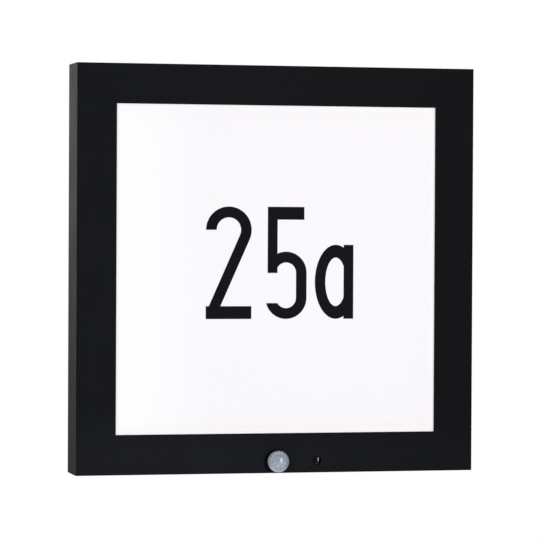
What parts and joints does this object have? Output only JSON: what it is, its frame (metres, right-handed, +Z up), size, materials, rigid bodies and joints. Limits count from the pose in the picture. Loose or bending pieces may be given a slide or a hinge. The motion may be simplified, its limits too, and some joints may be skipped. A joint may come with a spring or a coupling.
{
  "type": "illuminated house number sign",
  "caption": "Square wall-mounted house number light: mitred black frame, glowing opal panel with film numerals, motion and dusk sensors, lift-off wall bracket.",
  "frame": {"origin": "middle of the wall screw pattern, on the wall face of the bracket", "axes": "+X to the right seen from the street, +Y into the wall, +Z up"},
  "size_m": [0.28, 0.0457, 0.28],
  "materials": {
    "frame_black": "satin",
    "opal_acrylic": "satin",
    "clear_acrylic": "polished",
    "number_film": "satin",
    "reflector_white": "matte",
    "gasket_rubber": "matte",
    "bare_aluminium": "satin",
    "zinc_steel": "satin",
    "screw_steel": "satin",
    "circuit_board": "satin",
    "led_board_white": "satin",
    "led_phosphor": "satin",
    "terminal_nylon": "satin",
    "terminal_brass": "satin",
    "driver_case_white": "matte",
    "component_black": "satin",
    "trimmer_blue": "satin",
    "knob_white": "satin",
    "sensor_black": "satin",
    "lens_milky": "satin",
    "sensor_can": "satin",
    "dusk_eye": "gloss",
    "lead_jacket": "satin"
  },
  "bodies": {
    "bracket": {"wall_bracket": "zinc_steel"},
    "lamp": {"frame_bottom_profile": "frame_black", "frame_left_profile": "frame_black", "frame_top_profile": "frame_black", "frame_right_profile": "frame_black", "diffuser": "opal_acrylic", "light_guide": "clear_acrylic", "number_first_digit": "number_film", "number_second_digit": "number_film", "number_letter": "number_film", "reflector_sheet": "reflector_white", "bezel_gasket": "gasket_rubber", "back_gasket": "gasket_rubber", "terminal_cover_gasket": "gasket_rubber", "cable_grommet": "gasket_rubber", "panel_tray": "bare_aluminium", "corner_keys": "bare_aluminium", "back_pan": "bare_aluminium", "terminal_cover": "bare_aluminium", "rail_rivets": "bare_aluminium", "hanging_rail": "zinc_steel", "panel_retainers": "zinc_steel", "corner_key_screws": "screw_steel", "panel_retainer_screws": "screw_steel", "back_pan_screws": "screw_steel", "terminal_cover_screws": "screw_steel", "terminal_clamp_screws": "screw_steel", "terminal_fixing_screws": "screw_steel", "driver_screws": "screw_steel", "control_screws": "screw_steel", "sensor_board_screws": "screw_steel", "earth_screw": "screw_steel", "driver_board": "circuit_board", "control_board": "circuit_board", "sensor_board": "circuit_board", "led_strip_left": "led_board_white", "led_strip_right": "led_board_white", "leds_left": "led_phosphor", "leds_right": "led_phosphor", "terminal_block": "terminal_nylon", "control_standoffs": "terminal_nylon", "terminal_clamps": "terminal_brass", "earth_tab": "terminal_brass", "driver_base": "driver_case_white", "driver_cover": "driver_case_white", "driver_components": "component_black", "trimmer_bodies": "trimmer_blue", "pir_collar": "sensor_black", "sensor_holder": "sensor_black", "pir_lens": "lens_milky", "pir_sensor": "sensor_can", "dusk_sensor": "dusk_eye", "mains_lead": "lead_jacket", "led_leads": "lead_jacket", "control_lead": "lead_jacket", "sensor_lead": "lead_jacket"},
    "time_knob": {"time_trimmer_knob": "knob_white"},
    "light_knob": {"light_trimmer_knob": "knob_white"},
    "left_screw": {"securing_screw_left": "screw_steel"},
    "right_screw": {"securing_screw_right": "screw_steel"}
  },
  "joints": [
    {"name": "lamp_lift", "type": "slide", "parent": "bracket", "child": "lamp", "axis": [0, 0, 1], "range_m": [0, 0.01]},
    {"name": "time_adjust", "type": "hinge", "parent": "lamp", "child": "time_knob", "pos_m": [-0.016, -0.0067, -0.062], "axis": [0, 1, 0], "range_deg": [-135, 135]},
    {"name": "light_adjust", "type": "hinge", "parent": "lamp", "child": "light_knob", "pos_m": [0.016, -0.0067, -0.062], "axis": [0, 1, 0], "range_deg": [-135, 135]},
    {"name": "left_screw_turn", "type": "hinge", "parent": "lamp", "child": "left_screw", "pos_m": [-0.04, -0.0038, -0.14], "axis": [0, 0, 1], "continuous": true},
    {"name": "right_screw_turn", "type": "hinge", "parent": "lamp", "child": "right_screw", "pos_m": [0.04, -0.0038, -0.14], "axis": [0, 0, 1], "continuous": true}
  ]
}
